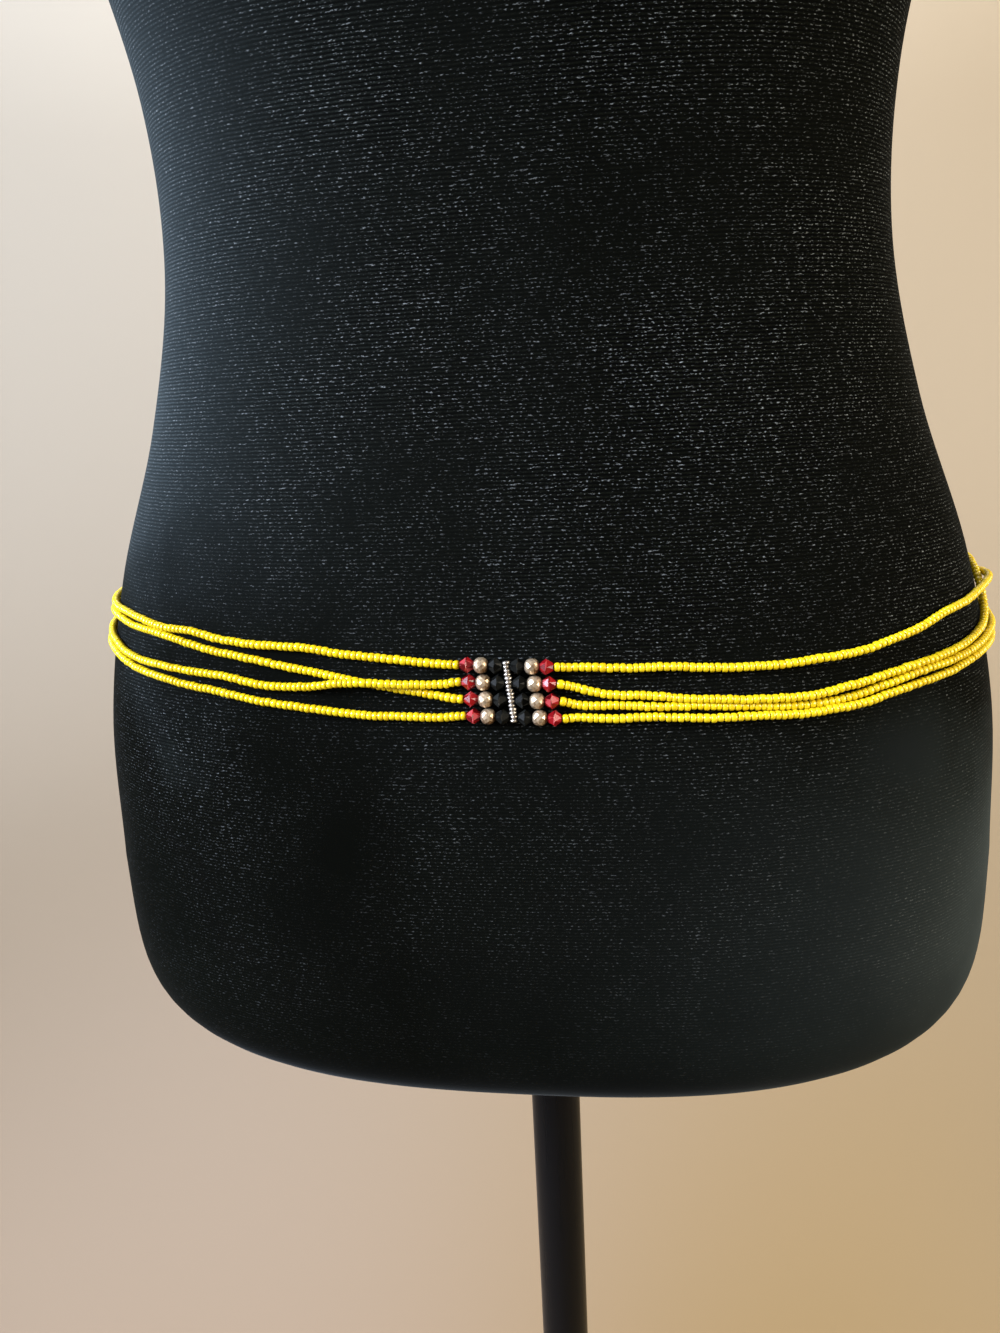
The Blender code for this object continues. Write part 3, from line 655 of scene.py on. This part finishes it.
def add_piece(name, points, faces, finish, nodes, crease=35):
    """Object at the origin that rides on the frame and stands for its CAD nodes. A crease sharper than the
    angle in degrees stays sharp, and 0 leaves every face flat."""
    mesh = bpy.data.meshes.new(name)
    mesh.from_pydata(np.reshape(points, (-1, 3)).tolist(), [], faces)
    mesh.materials.append(finish)
    if crease:
        mesh.shade_smooth()
        mesh.set_sharp_from_angle(angle=radians(crease))
    piece = bpy.data.objects.new(name, mesh)
    bpy.context.scene.collection.objects.link(piece)
    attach(piece, "root")
    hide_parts(*nodes)
    return piece


def add_values(piece, name, domain, values):
    """Stores one number for each point or face, which a material reads by its name."""
    layer = piece.data.attributes.new(name, "FLOAT", domain)
    layer.data.foreach_set("value", np.asarray(values, np.float32))


def velvet_cover(look):
    """Velvet cover: rings from the pole's socket out under the form, up over hip and bust to the neck. The
    UV map named cloth holds metres round the form and metres up its surface."""
    lowest = UNDERSIDE_ROUND * (1 - (1 - UNDERSIDE_FLAT ** UNDERSIDE_POWER) ** (1 / UNDERSIDE_POWER))
    ease = 1 - np.cos(np.linspace(0, pi / 2, look.rings // 6))
    under = lowest + (UNDERSIDE_ROUND - lowest) * ease[:-1]
    heights = np.concatenate([under, np.linspace(UNDERSIDE_ROUND, FORM_HEIGHT, look.rings)])
    turn = np.linspace(-pi, pi, look.sides, endpoint=False)
    body = form_point(turn[None, :], heights[:, None])
    body[0, :, 2] = UNDERSIDE
    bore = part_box("form_pole")[1].x + GAP
    ring = np.stack([bore * np.sin(turn), -bore * np.cos(turn), np.full(len(turn), UNDERSIDE)], axis=-1)
    blend = np.linspace(0, 1, 6)[1:-1, None, None]
    floor = ring * (1 - blend) + body[0] * blend
    socket = ring + np.array([0, 0, SOCKET_DEPTH + GAP])
    grid = np.concatenate([socket[None], ring[None], floor, body])
    points, faces = capped(grid)
    velvet = make_finish("knitted_stretch_velvet", knitted_velvet, look)
    piece = add_piece("velvet_cover", points, faces, velvet, ["form_torso"])
    rows, columns = grid.shape[:2]
    wrapped = np.concatenate([grid, grid[:, :1]], axis=1)
    round_ = np.cumsum(np.linalg.norm(np.diff(wrapped, axis=1), axis=-1), axis=1)
    round_ = np.concatenate([np.zeros((rows, 1)), round_], axis=1) - round_[:, -1:] / 2
    front = grid[:, columns // 2]
    upward = np.broadcast_to(path_length(front)[:, None], (rows, columns + 1))
    cloth = np.stack([round_, upward], axis=-1)
    quads = np.stack([cloth[:-1, :-1], cloth[:-1, 1:], cloth[1:, 1:], cloth[1:, :-1]], axis=2).reshape(-1, 2)
    fans = []
    for left, right in ((cloth[0, 1:], cloth[0, :-1]), (cloth[-1, :-1], cloth[-1, 1:])):
        fans.append(np.stack([(left + right) / 2, left, right], axis=1).reshape(-1, 2))
    layer = piece.data.uv_layers.new(name="cloth")
    layer.uv.foreach_set("vector", np.concatenate([quads, *fans]).astype(np.float32).ravel())
    return piece


def neck_cap(look, enamel):
    """Domed cap on the neck: an ellipse quarter over a short upright rim."""
    low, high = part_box("form_neck_cap")
    radius, rim, edge = high.x, low.z + 0.010, 0.0015
    profile = foot(radius, low.z, edge, 5)
    profile += arc((0, rim), (radius, high.z - rim), 0, 89, 28)
    points, faces = capped(turned(profile, look.turn_steps))
    return add_piece("neck_cap_dome", points, faces, enamel, ["form_neck_cap"])


def pole_tube(look):
    """Round pole with small rounded ends."""
    low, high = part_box("form_pole")
    radius, edge = high.x, 0.001
    profile = foot(radius, low.z, edge)
    profile += arc((radius - edge, high.z - edge), (edge, edge), 0, 90, 4) + [(radius * 0.5, high.z)]
    points, faces = capped(turned(profile, look.turn_steps))
    lacquer = make_finish("lacquered_steel_tube", lacquered_tube, look)
    return add_piece("pole_tube", points, faces, lacquer, ["form_pole"])


def base_plate(look, enamel):
    """Round base with a rolled rim, and the collar that the pole stands in, with a fillet at its foot."""
    low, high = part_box("form_base")
    pole_low, pole_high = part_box("form_pole")
    radius, bore, floor = high.x, pole_high.x + GAP, pole_low.z - GAP
    thick, rim, collar, fillet, edge = 0.009, 0.005, 0.019, 0.006, 0.001
    profile = foot(radius, low.z, edge)
    profile += arc((radius - rim, thick - rim), (rim, rim), 0, 90)
    profile += arc((collar + fillet, thick + fillet), (fillet, fillet), 270, 180)
    profile += arc((collar - edge, high.z - edge), (edge, edge), 0, 90, 4)
    profile += [(bore, high.z), (bore, floor), (bore * 0.5, floor)]
    points, faces = capped(turned(profile, look.turn_steps))
    return add_piece("base_plate", points, faces, enamel, ["form_base"])


# Outline of a seed bead's cut face as shares of its length and radius, running out along the hole and back
SEED_OUTLINE = np.array([(-0.47, 0.70), (-0.31, 0.92), (0, 1.0), (0.31, 0.92), (0.47, 0.70), (0.38, 0.40),
                         (-0.38, 0.40)])

# The same for a silver bead, which is rounder, so that a groove shows between two of them
SILVER_OUTLINE = np.array([(-0.48, 0.54), (-0.40, 0.78), (-0.22, 0.95), (0, 1.0), (0.22, 0.95), (0.40, 0.78),
                           (0.48, 0.54), (0.40, 0.40), (-0.40, 0.40)])

# A bead's few sides stand for a round, so only the edge of its hole is a crease, in degrees
BEAD_CREASE = 75

# Seed beads: each a little longer than its share of the strand, spread of radius, share of the wander that
# differs from bead to bead, beads over which a strand leaves its route at an end, middle and spread of tint
BEAD_FILL = 1.04
RADIUS_SPREAD = 0.022
BEAD_JITTER = 0.3
SETTLE_BEADS = 6
TINT_MIDDLE, TINT_SPREAD = 0.6, 0.25

# Silver beads: how far they lie to one side and the other in turn, how far at random, lean, spread of
# radius, points round a bead and the core through their holes
SILVER_ZIGZAG, SILVER_STRAY = 0.00005, 0.00003
SILVER_LEAN, SILVER_SPREAD = radians(2), 0.03
SILVER_SIDES, SILVER_CORE = 20, 0.0006


def drifting(rng, number, run):
    """Smooth random walk to both sides of nought: white noise averaged over a bell-shaped run."""
    bell = np.hanning(2 * run + 3)
    noise = np.convolve(rng.standard_normal(number + len(bell) - 1), bell, "valid")
    return noise / np.sqrt(np.sum(bell ** 2))


def bead_strand(row, side, side_name, look, glass, thread):
    """Half strand: ring beads of uneven thickness set end to end on their thread, a little tilted and
    crooked. Their thicknesses add up to the length of the strand's route."""
    rng = np.random.default_rng(100 * (row + 1) + side)
    line, outward = strand_route(row, side)
    total = path_length(line)[-1]
    number = round(total / look.pitch)
    thickness = 1 + look.spread * np.clip(rng.standard_normal(number), -2, 2)
    thickness *= total / thickness.sum()
    stations = np.cumsum(thickness) - thickness / 2
    centre, direction, square, across = frames_along(line, outward, stations)
    settle = np.clip(np.minimum(stations, total - stations) / (SETTLE_BEADS * look.pitch), 0, 1)[:, None]
    stray = drifting(rng, number, look.wander_run)[:, None] + BEAD_JITTER * rng.standard_normal((number, 1))
    centre = centre + settle * look.wander * stray * across
    places = leaned(rng, (centre, direction, square, across), look.tilt)
    radii = look.diameter / 2 * (1 + RADIUS_SPREAD * np.clip(rng.standard_normal(number), -2, 2))
    points, faces = strung(places, thickness * BEAD_FILL, radii, SEED_OUTLINE, look.sides,
                           look.thread / 2, 6)
    name = f"{row + 1}_{side_name}"
    piece = add_piece(f"bead_strand_{name}", points, faces, glass, [f"strand_{name}"],
                      BEAD_CREASE)
    piece.data.materials.append(thread)
    per_bead = len(SEED_OUTLINE) * look.sides
    finish = (np.arange(len(faces)) >= number * per_bead).astype(np.int32)
    piece.data.polygons.foreach_set("material_index", finish)
    tint = np.ones(len(points))
    bead_tint = np.clip(TINT_MIDDLE + TINT_SPREAD * rng.standard_normal(number), 0, 1)
    tint[:number * per_bead] = np.repeat(bead_tint, per_bead)
    add_values(piece, "tint", "POINT", tint)
    return piece


# Side of a champagne bead painted lighter, as light from the upper left front falls on it, with the other
# side painted as shade: shares outward, along the row to +X, and up
PAINTED_LIT_SIDE = (0.8, -0.7, 0.7)
# Share of a champagne facet's tone that is this painted light; the rest differs at random
PAINTED_LIT_SHARE = 0.65

# Cut outlines from end to end: share of the half length, share of the radius
BICONE_CUT = ((-1.0, 0.44), (-0.09, 1.0), (0.09, 1.0), (1.0, 0.44))
ROUND_CUT = ((-1.0, 0.50), (-0.74, 0.80), (-0.38, 0.96), (0.0, 1.0), (0.38, 0.96), (0.74, 0.80),
             (1.0, 0.50))


def facet_faces(rings, sides):
    """Triangles between rings that are each turned half a step from the last, with a flat at both ends."""
    ring = np.arange(sides)
    faces = [ring[::-1].tolist(), (ring + (rings - 1) * sides).tolist()]
    for row in range(rings - 1):
        low, high = ring + row * sides, ring + (row + 1) * sides
        low_next, high_next = np.roll(low, -1), np.roll(high, -1)
        if row % 2 == 0:
            pairs = ((low, low_next, high), (low_next, high_next, high))
        else:
            pairs = ((low, high_next, high), (low, low_next, high_next))
        for pair in pairs:
            faces += np.stack(pair, axis=-1).tolist()
    return faces


def cut_crystal(name, cut, sides, place, rng, look, finish, lit_share):
    """Cut glass bead at its row, distance from the column and roll, every facet flat. Its glass reads a
    number for each facet: a random one, and by the lit share its turn to the side painted as lit."""
    row, along, roll = place
    step = 0.0005
    turns, heights = zip(*(row_place(row, along + run) for run in (-step, 0, step)))
    near, centre, far = on_form(turns, heights, CRYSTAL_REST)
    direction = unit(far - near)
    square = squared(form_normal(turns[1], heights[1]), direction)
    across = np.cross(direction, square)
    turned_square = square * cos(roll) + across * sin(roll)
    places = tuple(v[None] for v in (centre, direction, turned_square, np.cross(direction, turned_square)))
    half, radius = np.array([look.length / 2]), np.array([look.diameter / 2])
    rings = threaded(places, half, radius, np.array(cut), sides, np.arange(len(cut)) % 2 / 2)
    faces = facet_faces(len(cut), sides)
    piece = add_piece(f"cut_{name}", rings, faces, finish, [name], 0)
    corners = rings.reshape(-1, 3)
    facing = unit(np.array([corners[face].mean(axis=0) for face in faces]) - centre)
    # Painted light: each facet's number grows as it turns to the lit side
    lit_direction = unit(np.array(PAINTED_LIT_SIDE) @ (square, direction, (0, 0, 1)) + 0.25 * rng.standard_normal(3))
    turned_to_light = 0.5 + 0.5 * facing @ lit_direction
    add_values(piece, "facet", "FACE", (1 - lit_share) * rng.random(len(faces)) + lit_share * turned_to_light)
    return piece


def crystal_rows(look):
    """In every row on both sides of the column: a jet bicone, a champagne bead and a red bicone."""
    jet = make_finish("machine_cut_jet_glass", cut_jet_glass, look)
    champagne = make_finish("champagne_mirror_glass_painted_light", champagne_glass_with_painted_light, look)
    red = make_finish("machine_cut_red_glass", cut_red_glass, look)
    kinds = (("jet_bicone", BICONE_CUT, 6, jet, "jet_glass", 0),
             ("champagne_bead", ROUND_CUT, 10, champagne, "champagne_glass", PAINTED_LIT_SHARE),
             ("red_bicone", BICONE_CUT, 6, red, "red_glass", 0))
    rng = np.random.default_rng(7)
    for row in range(ROW_COUNT):
        for side, side_name in SIDES:
            for nth, (kind, cut, sides, finish, slot, lit_share) in enumerate(kinds):
                name = f"{kind}_{row + 1}_{side_name}"
                place = (row, side * (ROW_START + nth * CRYSTAL_STEP), rng.uniform(0, 2 * pi / sides))
                cut_crystal(name, cut, sides, place, rng, look, finish, lit_share)


def silver_column(look, silver):
    """Column of silver ring beads between the rows' middles, each a little out of line with the last."""
    rng = np.random.default_rng(3)
    turns, heights = zip(*(row_place(row, 0) for row in (ROW_COUNT - 1, 0)))
    low, high = on_form(turns, heights, CRYSTAL_REST)
    middle, direction = (low + high) / 2, unit(high - low)
    corner_low, corner_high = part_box("silver_column")
    number = look.silver_count
    pitch = (corner_high.z - corner_low.z) / abs(direction[2]) / (number + 0.35)
    steps = (np.arange(number) - (number - 1) / 2) * pitch
    square = unit(np.cross(direction, (1, 0, 0)))
    across = np.cross(direction, square)
    sway = SILVER_ZIGZAG * (-1.0) ** np.arange(number) + SILVER_STRAY * rng.standard_normal(number)
    centre = middle + steps[:, None] * direction + sway[:, None] * across
    places = leaned(rng, (centre, direction, square, across), SILVER_LEAN)
    radii = look.silver_diameter / 2 * (1 + SILVER_SPREAD * rng.standard_normal(number))
    points, faces = strung(places, np.full(number, pitch), radii, SILVER_OUTLINE, SILVER_SIDES,
                           SILVER_CORE, 8)
    return add_piece("silver_bead_column", points, faces, silver, ["silver_column"],
                     BEAD_CREASE)


def end_bar(side_name, silver):
    """Cast end bar: a box with every corner rounded, the sixth-power superellipsoid in the CAD bar's box."""
    node_name = f"end_bar_{side_name}"
    low, high = (np.array(corner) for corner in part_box(node_name))
    outward = form_normal(pi, BAR_HEIGHT)
    tilt = atan2(outward[2], outward[1])
    tall = (high[2] - low[2] - BAR_DEPTH * abs(sin(tilt))) / cos(tilt)
    half = np.array([BAR_THICK, BAR_DEPTH, tall]) / 2
    rise = np.radians(np.linspace(-89, 89, 25))[:, None]
    turn = np.linspace(0, 2 * pi, 32, endpoint=False)[None, :]
    def bulge(value):
        return np.sign(value) * np.abs(value) ** (1 / 3)
    level = bulge(np.cos(rise))
    sides = (level * bulge(np.cos(turn)), level * bulge(np.sin(turn)), bulge(np.sin(rise)))
    shape = np.stack(np.broadcast_arrays(*sides), axis=-1)
    tilted = np.array(Matrix.Rotation(tilt, 3, "X"))
    points, faces = capped((shape * half) @ tilted.T + (low + high) / 2)
    return add_piece(f"cast_{node_name}", points, faces, silver, [node_name])


def clasp_half(node_name, side, silver):
    """Half of the fastened barrel clasp: a knurled barrel, a round shoulder and the neck to the bar."""
    centre = on_form(pi, BAR_HEIGHT, CLASP_RADIUS + GAP)
    near, barrel_end, far, neck_end = 0.00015, 0.00435, 0.00615, 0.00815
    shoulder, neck, edge, chamfer = 0.0016, 0.0011, 0.0004, 0.0002
    ridges, ridge_depth = 30, 0.03
    profile = foot(CLASP_RADIUS, near, edge)
    first = len(profile)
    grip = [(CLASP_RADIUS, x) for x in np.linspace(near + 2 * edge, barrel_end - edge, 6)]
    profile += grip + arc((shoulder, barrel_end), (CLASP_RADIUS - shoulder, far - barrel_end), 0, 90)
    profile += [(neck, far), (neck, (far + neck_end) / 2)]
    profile += [(neck, neck_end - chamfer), (neck - chamfer, neck_end)]
    depth = np.zeros(len(profile))
    depth[first + 1:first + len(grip) - 1] = ridge_depth
    points, faces = capped(turned(profile, 4 * ridges, centre, (side, 0, 0), (depth, ridges)))
    return add_piece(f"barrel_{node_name}", points, faces, silver, [node_name])


class CHAIN_OT_form(bpy.types.Operator):
    """Cover the form in velvet and finish its cap, pole and base"""
    bl_idname = "chain.form"
    bl_label = "Dress Form"

    def execute(self, context):
        look = context.scene.chain_form
        enamel = make_finish("stoved_black_enamel", stoved_enamel, look)
        velvet_cover(look)
        neck_cap(look, enamel)
        pole_tube(look)
        base_plate(look, enamel)
        return {"FINISHED"}


class CHAIN_OT_strands(bpy.types.Operator):
    """Thread the yellow seed beads along the eight half strands"""
    bl_idname = "chain.strands"
    bl_label = "Bead Strands"

    def execute(self, context):
        look = context.scene.chain_beads
        glass = make_finish("opaque_yellow_seed_glass", opaque_yellow_glass, look)
        thread = make_finish("twisted_nylon_thread", twisted_thread, look)
        for row in range(ROW_COUNT):
            for side, side_name in SIDES:
                bead_strand(row, side, side_name, look, glass, thread)
        return {"FINISHED"}


class CHAIN_OT_centrepiece(bpy.types.Operator):
    """Cut the red, champagne and jet crystals and string the silver column"""
    bl_idname = "chain.centrepiece"
    bl_label = "Centrepiece and Closure"

    def execute(self, context):
        look = context.scene.chain_crystals
        silver = make_finish("tumbled_silver_plating", plated_silver, look)
        crystal_rows(look)
        silver_column(look, silver)
        for _, side_name in SIDES:
            end_bar(side_name, silver)
        clasp_half("clasp_socket_half", -1, silver)
        clasp_half("clasp_screw_half", 1, silver)
        return {"FINISHED"}


def painted_plaster(node, stage):
    """Matt emulsion on plaster, painted with light and shade: pale grey far off and to the left, tan near
    the form and to the right.
    """
    place = node("TexCoord", out="Object")
    reach = node("VectorMath", {"Vector": place}, "Value", operation="LENGTH")
    height = node("SeparateXYZ", {"Vector": place}, "Z")
    away = node("Math", {"Value": reach, "Value_001": height})
    # Painted light and shade: tan near the form, paler far off and high up, grey to the left, tan to the
    # right
    distant = node("MapRange", {"Value": away, "From Max": 7.2})
    rise = node("Math", {"Value": distant, "Value_001": 0.7}, operation="POWER")
    bearing = node("VectorMath", {"Vector": place}, operation="NORMALIZE")
    sideways = node("SeparateXYZ", {"Vector": bearing})
    side = node("MapRange", {"Value": sideways, "From Min": -0.7, "From Max": 0.5},
                interpolation_type="SMOOTHSTEP")
    stipple = node("TexNoise", {"Vector": place, "Scale": ROLLER_STIPPLE, "Detail": 2})
    floor = node("Mix", {"Factor_Float": side, "A_Color": stage.floor_left, "B_Color": stage.floor_right},
                 data_type="RGBA")
    wall = node("Mix", {"Factor_Float": side, "A_Color": stage.wall_left, "B_Color": stage.wall_right},
                data_type="RGBA")
    tone = node("Mix", {"Factor_Float": rise, "A_Color": floor, "B_Color": wall}, data_type="RGBA")
    relief = node("Bump", {"Height": stipple, "Strength": 0.03, "Distance": 0.002})
    return node("BsdfPrincipled", {"Base Color": tone, "Roughness": 0.9, "Normal": relief,
                                   "Specular IOR Level": 0.2})


def studio_shell(stage):
    """Round floor, cove and wall in one: the profile runs out along the floor, through a quarter circle and
    up, and is turned round the pole."""
    profile = [(0.2, -GAP), (1.0, -GAP), (stage.room - stage.cove, -GAP)]
    profile += arc((stage.room - stage.cove, stage.cove - GAP), (stage.cove, stage.cove), -90, 0, 24)[1:]
    profile += [(stage.room, stage.wall)]
    grid = turned(profile, 128)[:, ::-1]
    points, faces = capped(grid)
    walls = [face for face in faces if len(points) - 1 not in face]
    mesh = bpy.data.meshes.new("studio_shell")
    mesh.from_pydata(points[:-1].tolist(), [], walls)
    mesh.shade_smooth()
    mesh.materials.append(make_finish("matt_painted_plaster", painted_plaster, stage))
    shell = bpy.data.objects.new("studio_shell", mesh)
    bpy.context.scene.collection.objects.link(shell)


def add_softbox(name, place, target, size, power, tint, spread=180):
    """Square area light that faces its target and spreads over an angle in degrees."""
    lamp = bpy.data.lights.new(name, "AREA")
    lamp.size, lamp.energy, lamp.color, lamp.spread = size, power, linear(tint)[:3], radians(spread)
    holder = bpy.data.objects.new(name, lamp)
    holder.location = place
    holder.rotation_mode = "QUATERNION"
    holder.rotation_quaternion = (Vector(target) - Vector(place)).to_track_quat("-Z", "Y")
    bpy.context.scene.collection.objects.link(holder)


def photo_camera(stage):
    """Camera at the photograph's angle: its axes are worked out from pitch, roll and yaw."""
    ahead = Vector((sin(stage.yaw), cos(stage.yaw), 0))
    forward = ahead * cos(stage.pitch) - Vector((0, 0, sin(stage.pitch)))
    level = Vector((cos(stage.yaw), -sin(stage.yaw), 0))
    below = forward.cross(level)
    right = level * cos(stage.roll) + below * sin(stage.roll)
    down = below * cos(stage.roll) - level * sin(stage.roll)
    data = bpy.data.cameras.new("camera")
    data.lens = stage.lens
    data.clip_start = 0.02
    camera = bpy.data.objects.new("camera", data)
    turned_axes = Matrix((right, -down, -forward)).transposed().to_4x4()
    camera.matrix_world = Matrix.Translation(stage.place) @ turned_axes
    bpy.context.scene.collection.objects.link(camera)
    bpy.context.scene.camera = camera


class CHAIN_OT_stage(bpy.types.Operator):
    """Set up the pale studio, its soft lights and the camera"""
    bl_idname = "chain.stage"
    bl_label = "Studio"

    def execute(self, context):
        stage = context.scene.chain_stage
        photo_camera(stage)
        studio_shell(stage)
        hip = (0, 0, UNDERSIDE + CENTRE_HEIGHT)
        add_softbox("window", (-1.9, -1.2, 1.9), hip, 1.3, stage.window, "#DDE8FF", 70)
        add_softbox("lamp", (2.0, -0.6, 1.3), hip, 1.2, stage.lamp, "#FFF4E0", 70)
        add_softbox("ceiling", (0, 2.0, 3.8), (0, 2.2, 0), 2.4, stage.ceiling, "#FFFAF2")
        add_softbox("wall_wash", (-0.6, 1.6, 4.3), (-1.0, stage.room, 2.2), 1.6, stage.wash, "#FFFDF8")
        world = bpy.data.worlds.new("air")
        world.use_nodes = True
        air = world.node_tree.nodes["Background"]
        air.inputs["Color"].default_value = linear("#FFFBF4")
        air.inputs["Strength"].default_value = stage.air
        context.scene.world = world
        context.scene.view_settings.view_transform = "Standard"
        return {"FINISHED"}


SETTINGS = {"chain_stage": StageSettings, "chain_form": FormSettings, "chain_beads": BeadSettings,
            "chain_crystals": CrystalSettings}
OPERATORS = {"chain_stage": CHAIN_OT_stage, "chain_form": CHAIN_OT_form, "chain_beads": CHAIN_OT_strands,
             "chain_crystals": CHAIN_OT_centrepiece}


class CHAIN_PT_panel(bpy.types.Panel):
    """Sizes, colours and steps of the waist chain"""
    bl_label = "Waist Chain"
    bl_space_type = "VIEW_3D"
    bl_region_type = "UI"
    bl_category = "Waist Chain"

    def draw(self, context):
        for group, operator in OPERATORS.items():
            box = self.layout.box()
            for name in SETTINGS[group].__annotations__:
                box.prop(getattr(context.scene, group), name)
            box.operator(operator.bl_idname)


CLASSES = (*SETTINGS.values(), *OPERATORS.values(), CHAIN_PT_panel)


def register():
    for made in CLASSES:
        bpy.utils.register_class(made)
    for name, group in SETTINGS.items():
        setattr(bpy.types.Scene, name, PointerProperty(type=group))


def unregister():
    for name in SETTINGS:
        delattr(bpy.types.Scene, name)
    for made in reversed(CLASSES):
        bpy.utils.unregister_class(made)


def main():
    register()
    bpy.ops.chain.stage()
    bpy.ops.chain.form()
    bpy.ops.chain.strands()
    bpy.ops.chain.centrepiece()


if __name__ == "__main__":
    main()
